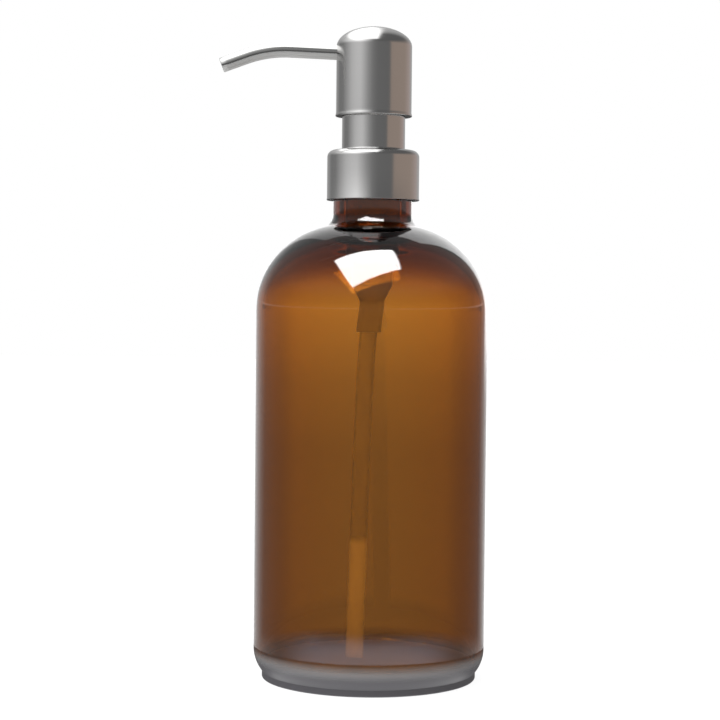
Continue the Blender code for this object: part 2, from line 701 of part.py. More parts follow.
def group_under(name, parent, z, pieces):
    """Parent pieces to an empty on the axis their body moves about or along."""
    frame = bpy.data.objects.new(name, None)
    frame.empty_display_size = 10 * MM
    bpy.context.scene.collection.objects.link(frame)
    frame.parent = parent
    frame.location = (0.0, 0.0, z - height_of(parent))
    for piece in pieces:
        piece.data.transform(Matrix.Translation((0.0, 0.0, -z)))
        piece.parent = frame
    return frame


def main():
    for obj in list(bpy.data.objects):
        bpy.data.objects.remove(obj)
    bottle = group_under("bottle_frame", None, 0.0, make_bottle())
    fixed = make_gasket() + make_housing() + make_dip_tube() + make_spring_seat() + make_guide_bush()
    pump = group_under("pump_frame", bottle, LIP_Z, fixed)
    group_under("closure_frame", pump, COLLAR_Z, make_closure_cap() + make_collar_shell())
    group_under("ball_frame", pump, BALL_Z, make_check_ball())
    stem = group_under("stem_frame", pump, STEM_Z, make_stem() + make_stem_plug() + make_spring())
    group_under("piston_frame", stem, PISTON_Z, make_piston())
    group_under("head_frame", stem, HEAD_RIM_Z, make_head_shell() + make_head_core() + make_spout())


main()
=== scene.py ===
"""Looks of the soap pump dispenser: fine surfaces, materials, studio light and camera."""

import math

import bmesh
import bpy
from mathutils import Matrix, Vector


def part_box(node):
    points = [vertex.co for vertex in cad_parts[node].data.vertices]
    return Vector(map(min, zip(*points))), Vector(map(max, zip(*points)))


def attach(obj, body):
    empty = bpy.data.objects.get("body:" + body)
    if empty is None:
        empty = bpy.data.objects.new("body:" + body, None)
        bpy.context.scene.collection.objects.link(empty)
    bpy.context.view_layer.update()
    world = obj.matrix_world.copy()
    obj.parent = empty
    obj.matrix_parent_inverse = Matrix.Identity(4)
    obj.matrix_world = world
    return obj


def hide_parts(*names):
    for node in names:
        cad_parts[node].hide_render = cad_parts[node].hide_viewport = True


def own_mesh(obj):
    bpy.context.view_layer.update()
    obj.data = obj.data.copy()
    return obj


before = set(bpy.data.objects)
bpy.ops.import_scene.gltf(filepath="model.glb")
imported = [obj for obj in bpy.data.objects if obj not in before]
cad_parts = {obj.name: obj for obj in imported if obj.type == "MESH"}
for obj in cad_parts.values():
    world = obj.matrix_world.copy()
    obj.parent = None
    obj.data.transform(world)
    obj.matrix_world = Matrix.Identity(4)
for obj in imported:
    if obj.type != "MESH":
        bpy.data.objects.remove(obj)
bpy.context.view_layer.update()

MM = 0.001


# ---------------------------------------------------------------- sizes read from the frame

def reach(node):
    """Largest radius, lowest z and highest z of a turned node."""
    low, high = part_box(node)
    return high[0], low[2], high[2]


BODY_R, BASE_Z, LIP_Z = reach("bottle")
COLLAR_HEM_R, COLLAR_Z, SLEEVE_TOP_Z = reach("collar_shell")
HEAD_RIM_R, HEAD_RIM_Z, DOME_TOP_Z = reach("head_shell")
DIP_LOW, DIP_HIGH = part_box("dip_tube")
SPRING_LOW, SPRING_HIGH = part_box("return_spring")
SPOUT_LOW, SPOUT_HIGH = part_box("spout_tube")

GLASS_WALL = 2.3 * MM
SHOULDER_WIDTH = 29.5 * MM
SHOULDER_Z = 119.5 * MM
NECK_R = 12.8 * MM
BORE_R = 9.4 * MM
SHELL_T = 0.4 * MM
THREAD_PITCH = 4.2333 * MM
THREAD_TURNS = 1.15
THREAD_HEIGHT = 0.8 * MM
THREAD_Z = 159.8 * MM
THREAD_START = math.radians(4)
THREAD_FADE = 0.09
THREAD_HALF_FOOT = 1.1 * MM
THREAD_FLANK = 0.6 * MM
THREADED_Z = (156 * MM, 166.6 * MM)

FINE_SIDES = 256
ROUND_SIDES = 128


# ---------------------------------------------------------------- mesh tools

def arc(centre, radius_r, radius_z, start, end, steps):
    """Points of an elliptic arc in the (r, z) plane, in degrees, both ends included."""
    points = []
    for i in range(steps + 1):
        angle = math.radians(start + (end - start) * i / steps)
        points.append((centre[0] + radius_r * math.cos(angle), centre[1] + radius_z * math.sin(angle)))
    return points


def fillet(corner, before, after, radius, steps=5):
    """Round one corner of an outline with an arc tangent to both of its sides."""
    here = Vector(corner)
    to_before = (Vector(before) - here).normalized()
    to_after = (Vector(after) - here).normalized()
    half = to_before.angle(to_after) / 2
    centre = here + (to_before + to_after).normalized() * (radius / math.sin(half))
    start = here + to_before * (radius / math.tan(half)) - centre
    end = here + to_after * (radius / math.tan(half)) - centre
    points = []
    for i in range(steps + 1):
        blend = start.slerp(end, i / steps).normalized() * radius
        points.append(tuple(centre + blend))
    return points


def rounded(corners, radii):
    """Round the corners of a closed outline, each with its own radius."""
    points = []
    count = len(corners)
    for i, (corner, radius) in enumerate(zip(corners, radii)):
        points += fillet(corner, corners[i - 1], corners[(i + 1) % count], radius)
    return points


def subdivided(outline, longest):
    """Split an outline's long straight stretches."""
    points = []
    for a, b in zip(outline, outline[1:]):
        parts = max(1, math.ceil(math.dist(a, b) / longest))
        for i in range(parts):
            t = i / parts
            points.append((a[0] + (b[0] - a[0]) * t, a[1] + (b[1] - a[1]) * t))
    points.append(outline[-1])
    return points


def make_object(name, mesh_data, sharp_degrees=40):
    """Turn a bmesh into a smooth-shaded object."""
    bmesh.ops.recalc_face_normals(mesh_data, faces=mesh_data.faces)
    mesh = bpy.data.meshes.new(name)
    mesh_data.to_mesh(mesh)
    mesh_data.free()
    mesh.shade_smooth()
    mesh.set_sharp_from_angle(angle=math.radians(sharp_degrees))
    obj = bpy.data.objects.new(name, mesh)
    bpy.context.scene.collection.objects.link(obj)
    return obj


def turned(name, outline, sides, warp=None):
    """Turn a closed (r, z) outline about Z. warp(r, z, angle) may move a point's radius."""
    bm = bmesh.new()
    columns = []
    poles = {}
    for j in range(sides):
        angle = math.tau * j / sides
        column = []
        for i, (r, z) in enumerate(outline):
            if r == 0.0:
                if i not in poles:
                    poles[i] = bm.verts.new((0.0, 0.0, z))
                column.append(poles[i])
                continue
            radius = warp(r, z, angle) if warp else r
            column.append(bm.verts.new((radius * math.cos(angle), radius * math.sin(angle), z)))
        columns.append(column)
    last = len(outline) - 1
    pairs = [(i, i + 1) for i in range(last)]
    if outline[0][0] > 0.0 or outline[-1][0] > 0.0:
        pairs.append((last, 0))
    for j in range(sides):
        here, there = columns[j], columns[(j + 1) % sides]
        for a, b in pairs:
            corners = []
            for vert in (here[a], here[b], there[b], there[a]):
                if vert not in corners:
                    corners.append(vert)
            bm.faces.new(corners)
    return make_object(name, bm)


def add_rings(bm, path, radii, side, sides):
    """Join rings of vertices laid along a path. side is a direction that the path never takes."""
    rings = []
    for i, point in enumerate(path):
        tangent = (path[min(i + 1, len(path) - 1)] - path[max(i - 1, 0)]).normalized()
        across = (side - tangent * side.dot(tangent)).normalized()
        other = tangent.cross(across)
        ring = []
        for j in range(sides):
            angle = math.tau * j / sides
            ring.append(bm.verts.new(point + (across * math.cos(angle) + other * math.sin(angle)) * radii[i]))
        rings.append(ring)
    for low, high in zip(rings, rings[1:]):
        join_rings(bm, low, high)
    return rings


def join_rings(bm, low, high):
    """Join two rings of the same length with quads."""
    for j in range(len(low)):
        k = (j + 1) % len(low)
        bm.faces.new((low[j], low[k], high[k], high[j]))


def pipe(name, path, outer_r, bore_r, sides, edge=0.0):
    """A hollow pipe with slightly rounded end edges."""
    along_start = (path[0] - path[1]).normalized()
    along_end = (path[-1] - path[-2]).normalized()
    first = [path[0], path[0] - along_start * edge]
    last = [path[-1] - along_end * edge, path[-1]]
    outer_path = first + path[1:-1] + last
    outer_radii = [outer_r - edge] + [outer_r] * len(path) + [outer_r - edge]
    bm = bmesh.new()
    side = Vector((0.0, 1.0, 0.0))
    outer = add_rings(bm, outer_path, outer_radii, side, sides)
    inner = add_rings(bm, path, [bore_r] * len(path), side, sides)
    join_rings(bm, outer[0], inner[0])
    join_rings(bm, outer[-1], inner[-1])
    return make_object(name, bm, 60)


# ---------------------------------------------------------------- the pieces

def thread_bump(r, z, angle):
    """Radius of the neck with its thread: a rounded ridge that climbs and fades at both ends."""
    if r < NECK_R - 0.01 * MM or not THREADED_Z[0] < z < THREADED_Z[1]:
        return r
    height = 0.0
    for whole_turn in (0, 1, 2):
        turn = ((angle - THREAD_START) % math.tau) / math.tau + whole_turn
        fade = min(1.0, min(turn, THREAD_TURNS - turn) / THREAD_FADE)
        if fade <= 0.0:
            continue
        offset = abs(z - THREAD_Z - THREAD_PITCH * turn)
        flank = min(1.0, max(0.0, (THREAD_HALF_FOOT - offset) / THREAD_FLANK))
        height = max(height, flank * flank * (3 - 2 * flank) * math.sin(fade * math.pi / 2))
    return r + THREAD_HEIGHT * height


def shoulder_outline(width, rise, neck_r, shoulder_steps, neck_steps):
    """Elliptic shoulder from the body up to the neck's fillet, then the fillet itself."""
    centre = (BODY_R - SHOULDER_WIDTH, SHOULDER_Z)
    meet_degrees = 74.7
    points = arc(centre, width, rise, 0, meet_degrees, shoulder_steps)
    meet = math.radians(meet_degrees)
    normal = math.atan2(math.sin(meet) / rise, math.cos(meet) / width)
    end_r, end_z = points[-1]
    fillet_r = (end_r - neck_r) / (1.0 - math.cos(normal))
    fillet_centre = (end_r + fillet_r * math.cos(normal), end_z + fillet_r * math.sin(normal))
    points += arc(fillet_centre, fillet_r, fillet_r, math.degrees(normal) + 180, 180, neck_steps)[1:]
    return points


def bottle_outline():
    """Section of the bottle from the middle of its underside, round the outside, to the inner floor."""
    foot_r, foot_top, heel_z, heel_r = 34.75 * MM, 2.3 * MM, 9.8 * MM, 11.5 * MM
    floor_z, floor_r, panel_z = 4.6 * MM, 3.5 * MM, 0.7 * MM
    heel_start = math.degrees(math.asin((foot_top - heel_z) / heel_r))
    inner_r = BODY_R - GLASS_WALL
    lip_r = 0.9 * MM
    outline = [(0.0, panel_z)]
    outline += fillet((29.2 * MM, panel_z), (0.0, panel_z), (30.0 * MM, 0.0), 0.5 * MM)
    outline += fillet((30.0 * MM, 0.0), (29.2 * MM, panel_z), (33.0 * MM, 0.0), 0.3 * MM)
    outline += arc((foot_r - 0.5 * MM, 0.5 * MM), 0.5 * MM, 0.5 * MM, -90, 0, 8)
    heel = arc((BODY_R - heel_r, heel_z), heel_r, heel_r, heel_start, 0, 20)
    outline += fillet((foot_r, foot_top), (foot_r, 0.9 * MM), heel[2], 0.5 * MM) + heel[3:]
    outline += shoulder_outline(SHOULDER_WIDTH, 28.0 * MM, NECK_R, 48, 20)
    outline += arc((NECK_R - lip_r, LIP_Z - lip_r), lip_r, lip_r, 0, 90, 8)
    outline += arc((BORE_R + lip_r, LIP_Z - lip_r), lip_r, lip_r, 90, 180, 8)
    outline += reversed(shoulder_outline(SHOULDER_WIDTH - GLASS_WALL, 23.5 * MM, BORE_R, 44, 20))
    outline += arc((inner_r - floor_r, floor_z + floor_r), floor_r, floor_r, 0, -90, 14)
    outline.append((0.0, floor_z))
    return subdivided(outline, 2.5 * MM)


def make_bottle():
    """Blown bottle with its neck rows fine enough for the thread."""
    fine = []
    for point in bottle_outline():
        if fine and fine[-1][0] >= NECK_R - 0.01 * MM and point[0] >= NECK_R - 0.01 * MM:
            if point[1] > 155 * MM:
                start = fine[-1]
                rows = max(1, round((point[1] - start[1]) / (0.2 * MM)))
                for i in range(1, rows):
                    t = i / rows
                    fine.append((start[0] + (point[0] - start[0]) * t, start[1] + (point[1] - start[1]) * t))
        fine.append(point)
    return turned("bottle_glass", fine, FINE_SIDES, thread_bump)


def make_collar():
    """Drawn collar and sleeve in one shell, with a rolled hem."""
    wall_r = COLLAR_HEM_R - 0.12 * MM
    roof_z = 171.1 * MM
    corner = 2.3 * MM
    sleeve_r = 10.2 * MM
    corner_centre = (wall_r - corner, roof_z - corner)
    hem = 0.22 * MM
    outline = [(wall_r - SHELL_T, COLLAR_Z + 0.6 * MM)]
    outline += arc((COLLAR_HEM_R - hem, COLLAR_Z + hem), hem, hem, 225, 360, 8)
    outline += [(COLLAR_HEM_R, COLLAR_Z + 1.6 * hem), (wall_r, COLLAR_Z + 3.2 * hem)]
    outline += arc(corner_centre, corner, corner, 0, 90, 18)
    outline += arc((sleeve_r + 0.6 * MM, roof_z + 0.6 * MM), 0.6 * MM, 0.6 * MM, 270, 180, 10)
    outline += [(sleeve_r, SLEEVE_TOP_Z - 0.2 * MM), (sleeve_r - 0.2 * MM, SLEEVE_TOP_Z)]
    outline += [(sleeve_r - SHELL_T, SLEEVE_TOP_Z - 0.2 * MM), (sleeve_r - SHELL_T, roof_z - SHELL_T)]
    outline += arc(corner_centre, corner - SHELL_T, corner - SHELL_T, 90, 0, 12)
    return turned("collar_steel", outline, FINE_SIDES)


def make_head():
    """Drawn dome with a rolled rim. The spout's hole is cut with a Boolean."""
    wall_r = HEAD_RIM_R - 0.2 * MM
    dome_h = 6.5 * MM
    dome_z = DOME_TOP_Z - dome_h
    bead = 0.2 * MM
    outline = arc((0.0, dome_z), wall_r - SHELL_T, dome_h - SHELL_T, 90, 0, 36)
    outline[0] = (0.0, outline[0][1])
    outline += [(wall_r - SHELL_T, HEAD_RIM_Z + 0.4 * MM)]
    outline += arc((HEAD_RIM_R - bead, HEAD_RIM_Z + bead), bead, bead, 200, 360, 9)
    outline += [(HEAD_RIM_R - 0.01 * MM, HEAD_RIM_Z + 2 * bead)]
    outline += [(HEAD_RIM_R - 0.12 * MM, HEAD_RIM_Z + 4 * bead)]
    outline += [(wall_r, HEAD_RIM_Z + 6 * bead), (wall_r, HEAD_RIM_Z + 9 * bead)]
    outline += arc((0.0, dome_z), wall_r, dome_h, 0, 90, 40)[:-1]
    outline.append((0.0, DOME_TOP_Z))
    shell = turned("head_steel", outline, FINE_SIDES)
    cut_hole(shell)
    return shell


def spout_frame():
    """Bend start, rise and fall angles and bend radius of the spout's centre line."""
    return Vector((-27.0 * MM, 0.0, 203.2 * MM)), math.radians(2.4), math.radians(20.0), 38.0 * MM


def spout_ray(distance):
    """Point on the spout's straight root, at a distance back along it from the bend."""
    bend, rise, _, _ = spout_frame()
    return bend + Vector((math.cos(rise), 0.0, -math.sin(rise))) * distance


def spout_path(root_x, tip_length, bend_steps=36):
    """Centre line of the spout from its root in the head to its tip."""
    bend, rise, fall, radius = spout_frame()
    root_distance = (root_x - bend.x) / math.cos(rise)
    path = [spout_ray(root_distance * (1 - i / 6)) for i in range(6)]
    centre = bend - Vector((math.sin(rise), 0.0, math.cos(rise))) * radius
    for i in range(bend_steps + 1):
        heading = rise - (rise + fall) * i / bend_steps
        path.append(centre + Vector((math.sin(heading), 0.0, math.cos(heading))) * radius)
    along = Vector((-math.cos(fall), 0.0, -math.sin(fall)))
    elbow = path[-1]
    for i in range(1, 5):
        path.append(elbow + along * tip_length * i / 4)
    return path


def cut_hole(shell):
    """Cut the spout's hole through the head's left wall and apply the cut."""
    bm = bmesh.new()
    rings = add_rings(bm, [spout_ray(8 * MM), spout_ray(21 * MM)], [2.55 * MM] * 2, Vector((0, 1, 0)), 64)
    bm.faces.new(rings[0])
    bm.faces.new(rings[1])
    cutter = make_object("hole_cutter", bm)
    modifier = shell.modifiers.new("hole", "BOOLEAN")
    modifier.operation = "DIFFERENCE"
    modifier.solver = "EXACT"
    modifier.object = cutter
    graph = bpy.context.evaluated_depsgraph_get()
    cut = bpy.data.meshes.new_from_object(shell.evaluated_get(graph))
    shell.modifiers.clear()
    shell.data = cut
    bpy.data.objects.remove(cutter)
    cut.shade_smooth()
    cut.set_sharp_from_angle(angle=math.radians(40))


def make_spout():
    """Bent tube with a deburred end, and the liner inside it."""
    spout_r = (SPOUT_HIGH[1] - SPOUT_LOW[1]) / 2
    bore_r = spout_r - 0.3 * MM
    tube = pipe("spout_steel", spout_path(-6.0 * MM, 8.2 * MM), spout_r, bore_r, 64, 0.12 * MM)
    liner_path = spout_path(-6.3 * MM, 6.7 * MM)
    liner = pipe("spout_inner_tube", liner_path, bore_r - 0.1 * MM, 1.3 * MM, 48, 0.1 * MM)
    return tube, liner


def dip_offset(z):
    """How far the dip tube's centre line, and the stub that holds it, lie from the axis at a height."""
    below = max(0.0, 120.9 * MM - z)
    return -0.028 * below - 1.5 * MM * (1.0 - math.exp(-below / (12.0 * MM)))


def make_housing():
    """Moulded pump cylinder with rounded steps and an angled stub."""
    corners = [
        (3.0, 112.3), (4.0, 112.3), (4.0, 123.0), (6.6, 129.0), (6.6, 138.6), (8.8, 140.8), (8.8, 168.8),
        (12.6, 168.8), (12.6, 169.5), (7.7, 169.5), (7.7, 141.8), (5.6, 139.6), (5.6, 129.0), (3.0, 123.0),
        (1.5, 121.8), (1.5, 120.9), (3.0, 120.9),
    ]
    radii = [0.15, 0.3, 1.5, 1.5, 1.0, 1.0, 0.2, 0.2, 0.2, 0.2, 0.4, 0.4, 0.8, 0.5, 0.1, 0.1, 0.1]
    corners = [(r * MM, z * MM) for r, z in corners]
    outline = rounded(corners, [radius * MM for radius in radii])
    outline = subdivided(outline + outline[:1], 1.5 * MM)[:-1]
    housing = turned("pump_cylinder", outline, ROUND_SIDES)
    for vert in housing.data.vertices:
        vert.co.x += dip_offset(vert.co.z)
    return housing


def make_dip_tube():
    """Dip tube on the route of its CAD solid: out of the stub at an angle, then a slight lean."""
    top_z, bottom_z = DIP_HIGH[2], DIP_LOW[2]
    outer_r = (DIP_HIGH[1] - DIP_LOW[1]) / 2
    steps = 80
    path = []
    for i in range(steps + 1):
        z = top_z + (bottom_z - top_z) * i / steps
        path.append(Vector((dip_offset(z), 0.0, z)))
    return pipe("dip_tube_fine", path, outer_r, 2.05 * MM, 64, 0.1 * MM)


def make_spring():
    """Return spring with closed end turns, in fine round wire."""
    wire_r, coil_r, turns, dead_pitch = 0.35 * MM, 3.6 * MM, 7.5, 0.8 * MM
    low_z, high_z = SPRING_LOW[2] + wire_r, SPRING_HIGH[2] - wire_r
    open_turns = turns - 2.0
    open_pitch = (high_z - low_z - 2 * dead_pitch) / open_turns
    steps = 40
    path = []
    for i in range(int(turns * steps) + 1):
        turn = i / steps
        z = low_z + dead_pitch * min(turn, 1.0) + open_pitch * min(max(turn - 1.0, 0.0), open_turns)
        z += dead_pitch * max(turn - 1.0 - open_turns, 0.0)
        path.append(Vector((coil_r * math.cos(math.tau * turn), coil_r * math.sin(math.tau * turn), z)))
    bm = bmesh.new()
    rings = add_rings(bm, path, [wire_r] * len(path), Vector((0.0, 0.0, 1.0)), 14)
    bm.faces.new(rings[0])
    bm.faces.new(rings[-1])
    return make_object("spring_wire", bm, 60)


# ---------------------------------------------------------------- material tools

def new_material(name):
    """Empty node material with its output and Principled shader."""
    material = bpy.data.materials.new(name)
    material.use_nodes = True
    nodes = material.node_tree.nodes
    return material, nodes, material.node_tree.links, nodes["Principled BSDF"]


def set_inputs(node, values):
    """Set a node's input values by name."""
    for key, value in values.items():
        node.inputs[key].default_value = value


def add_noise(nodes, links, scale, stretch, detail=4.0):
    """Noise in object space, stretched by a scale along each axis."""
    coords = nodes.new("ShaderNodeTexCoord")
    mapping = nodes.new("ShaderNodeMapping")
    mapping.inputs["Scale"].default_value = stretch
    noise = nodes.new("ShaderNodeTexNoise")
    set_inputs(noise, {"Scale": scale, "Detail": detail})
    links.new(coords.outputs["Object"], mapping.inputs["Vector"])
    links.new(mapping.outputs["Vector"], noise.inputs["Vector"])
    return noise.outputs["Fac"]


def add_range(nodes, links, source, low, high):
    """Map a 0 to 1 value to a range."""
    node = nodes.new("ShaderNodeMapRange")
    set_inputs(node, {"To Min": low, "To Max": high})
    links.new(source, node.inputs["Value"])
    return node.outputs["Result"]


def add_bump(nodes, links, source, strength, distance, shader):
    """Bump a shader's surface."""
    node = nodes.new("ShaderNodeBump")
    set_inputs(node, {"Strength": strength, "Distance": distance})
    links.new(source, node.inputs["Height"])
    links.new(node.outputs["Normal"], shader.inputs["Normal"])
    return node


def add_step(nodes, links, source, low, high):
    """0 at one value of a socket and 1 at another, smooth between. low may be the larger of the two."""
    node = nodes.new("ShaderNodeMapRange")
    node.interpolation_type = "SMOOTHSTEP"
    set_inputs(node, {"From Min": low, "From Max": high})
    links.new(source, node.inputs["Value"])
    return node.outputs["Result"]


def add_height(nodes, links, low, high):
    """0 at one height of the object and 1 at another."""
    coordinates = nodes.new("ShaderNodeTexCoord")
    split = nodes.new("ShaderNodeSeparateXYZ")
    links.new(coordinates.outputs["Object"], split.inputs[0])
    return add_step(nodes, links, split.outputs["Z"], low, high)


def add_radius(nodes, links, low, high):
    """0 at one distance from the object's axis and 1 at another."""
    coordinates = nodes.new("ShaderNodeTexCoord")
    flat = nodes.new("ShaderNodeVectorMath")
    flat.operation = "MULTIPLY"
    flat.inputs[1].default_value = (1.0, 1.0, 0.0)
    links.new(coordinates.outputs["Object"], flat.inputs[0])
    radius = nodes.new("ShaderNodeVectorMath")
    radius.operation = "LENGTH"
    links.new(flat.outputs["Vector"], radius.inputs[0])
    return add_step(nodes, links, radius.outputs["Value"], low, high)


def mix_colours(nodes, links, factor, low, high):
    """Mix two colours, each a socket or three numbers."""
    node = nodes.new("ShaderNodeMix")
    node.data_type = "RGBA"
    links.new(factor, node.inputs[0])
    for index, value in ((6, low), (7, high)):
        if isinstance(value, tuple):
            node.inputs[index].default_value = (*value, 1.0)
        else:
            links.new(value, node.inputs[index])
    return node.outputs[2]


def add_facing_down(nodes, links):
    """1 where the surface faces down, 0 where it faces sideways or up."""
    geometry = nodes.new("ShaderNodeNewGeometry")
    split = nodes.new("ShaderNodeSeparateXYZ")
    links.new(geometry.outputs["Normal"], split.inputs[0])
    return add_step(nodes, links, split.outputs["Z"], -0.15, -0.45)


def brushed_steel(name, colour, low_rough, high_rough):
    """Satin steel, turned on a lathe: fine rings round the axis, with faint wear."""
    material, nodes, links, shader = new_material(name)
    set_inputs(shader, {"Metallic": 1.0})
    rings = add_noise(nodes, links, 1.0, (60.0, 60.0, 9000.0), 3.0)
    patches = add_noise(nodes, links, 90.0, (1.0, 1.0, 1.0))
    tint = mix_colours(nodes, links, rings, tuple(c * 0.93 for c in colour), colour)
    links.new(tint, shader.inputs["Base Color"])
    mixed = nodes.new("ShaderNodeMath")
    mixed.operation = "ADD"
    links.new(add_range(nodes, links, rings, 0.0, 0.7), mixed.inputs[0])
    links.new(add_range(nodes, links, patches, 0.0, 0.3), mixed.inputs[1])
    links.new(add_range(nodes, links, mixed.outputs[0], low_rough, high_rough), shader.inputs["Roughness"])
    add_bump(nodes, links, rings, 0.12, 0.02 * MM, shader)
    return material


def polished_steel(name, colour, rough, underside=None):
    """Polished steel with faint handling marks, and a duller underside if its roughness is given."""
    material, nodes, links, shader = new_material(name)
    set_inputs(shader, {"Metallic": 1.0})
    marks = add_noise(nodes, links, 400.0, (0.4, 1.0, 1.0))
    shine = add_range(nodes, links, marks, rough * 0.6, rough * 1.5)
    if underside:
        shine = mix_colours(nodes, links, add_facing_down(nodes, links), shine, (underside,) * 3)
    links.new(shine, shader.inputs["Roughness"])
    tint = mix_colours(nodes, links, marks, tuple(c * 0.95 for c in colour), colour)
    links.new(tint, shader.inputs["Base Color"])
    return material


# Painted film on the lowest part of the bottle, a painted reflection of the table on the base and painted
# shade on the heel: it starts at the top height and is complete at the full height
FILM_TOP_Z = 11.0 * MM
FILM_FULL_Z = 4.6 * MM
PAINTED_SHADE_OUTSIDE = (0.155, 0.150, 0.165)
PAINTED_REFLECTION_INSIDE = (0.50, 0.50, 0.60)


def amber_glass():
    """Brown bottle glass: colour from absorption inside the wall, blown ripples, and a rough foot painted
    lavender-grey as a painted reflection of the table and dark as painted shade.
    """
    material, nodes, links, shader = new_material("amber_glass")
    set_inputs(shader, {"IOR": 1.52})
    ripples = add_noise(nodes, links, 40.0, (1.0, 1.0, 0.6), 2.0)
    add_bump(nodes, links, ripples, 0.12, 0.3 * MM, shader)
    film = add_height(nodes, links, FILM_TOP_Z, FILM_FULL_Z)
    inside = add_radius(nodes, links, 34.6 * MM, 34.2 * MM)
    # Painted reflection and painted shade: lavender-grey within 34.2 mm of the axis, dark grey at the heel,
    # with less transmission.
    painted_foot_tone = mix_colours(nodes, links, inside, PAINTED_SHADE_OUTSIDE, PAINTED_REFLECTION_INSIDE)
    links.new(mix_colours(nodes, links, film, (1.0, 1.0, 1.0), painted_foot_tone), shader.inputs["Base Color"])
    links.new(add_range(nodes, links, film, 1.0, 0.35), shader.inputs["Transmission Weight"])
    links.new(add_range(nodes, links, film, 0.0, 0.30), shader.inputs["Roughness"])
    absorption = nodes.new("ShaderNodeVolumeAbsorption")
    set_inputs(absorption, {"Color": (0.785, 0.560, 0.030, 1.0), "Density": 1000.0})
    links.new(absorption.outputs["Volume"], nodes["Material Output"].inputs["Volume"])
    return material


def moulded_plastic(name, colour, rough, see_through=0.0):
    """Moulded plastic with a faint grain and slight milky variation."""
    material, nodes, links, shader = new_material(name)
    set_inputs(shader, {"IOR": 1.49, "Transmission Weight": see_through})
    grain = add_noise(nodes, links, 700.0, (1.0, 1.0, 1.0))
    clouds = add_noise(nodes, links, 60.0, (1.0, 1.0, 0.5))
    shade = mix_colours(nodes, links, clouds, tuple(c * 0.92 for c in colour), colour)
    links.new(shade, shader.inputs["Base Color"])
    links.new(add_range(nodes, links, grain, rough * 0.85, rough * 1.15), shader.inputs["Roughness"])
    add_bump(nodes, links, grain, 0.08, 0.05 * MM, shader)
    return material


def housing_plastic():
    """Natural plastic of the housing, with painted shade: near black where the wide cylinder fills the neck
    under the collar.
    """
    material = moulded_plastic("housing_plastic", (0.88, 0.88, 0.85), 0.30, 0.7)
    nodes, links = material.node_tree.nodes, material.node_tree.links
    shader = nodes["Principled BSDF"]
    shade = shader.inputs["Base Color"].links[0].from_socket
    # Painted shade: above 140 mm the housing is coloured near black, as if shaded by the collar over the
    # neck.
    above = add_height(nodes, links, 138.0 * MM, 142.0 * MM)
    links.new(mix_colours(nodes, links, above, shade, (0.06, 0.07, 0.09)), shader.inputs["Base Color"])
    return material


def dip_tube_plastic():
    """Clear tube whose lowest part is painted pale and made less clear: painted light from the bright table
    below.
    """
    material = moulded_plastic("dip_tube_plastic", (0.90, 0.90, 0.88), 0.20, 0.8)
    nodes, links = material.node_tree.nodes, material.node_tree.links
    shader = nodes["Principled BSDF"]
    shade = shader.inputs["Base Color"].links[0].from_socket
    # Painted light: below 45 mm the tube is coloured near white and made more opaque, standing in for light
    # from the table.
    above = add_height(nodes, links, 43.0 * MM, 47.0 * MM)
    links.new(mix_colours(nodes, links, above, (0.95, 0.97, 1.0), shade), shader.inputs["Base Color"])
    links.new(add_range(nodes, links, above, 0.15, 0.8), shader.inputs["Transmission Weight"])
    return material


# ---------------------------------------------------------------- dressing the frame

def dress(piece, node, body, material):
    """Let a fine piece stand for a CAD node."""
    piece.data.materials.clear()
    piece.data.materials.append(material)
    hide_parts(node)
    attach(piece, body)


def shorten_spring(spring):
    """Give the return spring its own copy of its mesh."""
    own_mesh(spring)


def build_object():
    """All pieces and materials of the object."""
    steel = brushed_steel("satin_steel", (0.60, 0.595, 0.59), 0.13, 0.22)
    spout_steel = polished_steel("polished_steel", (0.66, 0.66, 0.65), 0.13, 0.6)
    bright = polished_steel("bright_steel", (0.62, 0.62, 0.63), 0.15)
    natural = moulded_plastic("natural_plastic", (0.80, 0.80, 0.77), 0.30, 0.6)
    tube_plastic = moulded_plastic("tube_plastic", (0.90, 0.90, 0.88), 0.20, 0.8)
    grey_plastic = moulded_plastic("grey_plastic", (0.70, 0.70, 0.69), 0.45)
    stem_plastic = moulded_plastic("stem_plastic", (0.78, 0.78, 0.76), 0.3)
    soft_plastic = moulded_plastic("soft_plastic", (0.86, 0.86, 0.84), 0.5)
    foam = moulded_plastic("gasket_foam", (0.82, 0.82, 0.80), 0.8)

    dress(make_bottle(), "bottle", "bottle", amber_glass())
    dress(make_collar(), "collar_shell", "closure", steel)
    dress(make_head(), "head_shell", "head", steel)
    tube, liner = make_spout()
    dress(tube, "spout_tube", "head", spout_steel)
    dress(liner, "spout_liner", "head", tube_plastic)
    dress(make_housing(), "pump_housing", "pump_body", housing_plastic())
    dress(make_dip_tube(), "dip_tube", "pump_body", dip_tube_plastic())
    spring = make_spring()
    dress(spring, "return_spring", "stem", bright)
    shorten_spring(spring)

    kept = {
        "gasket": foam, "guide_bush": natural, "spring_seat": natural, "check_ball": bright,
        "closure_cap": grey_plastic, "stem": stem_plastic, "stem_plug": stem_plastic,
        "piston_seal": soft_plastic, "head_core": grey_plastic,
    }
    for node, material in kept.items():
        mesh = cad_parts[node].data
        mesh.materials.clear()
        mesh.materials.append(material)


# ---------------------------------------------------------------- studio

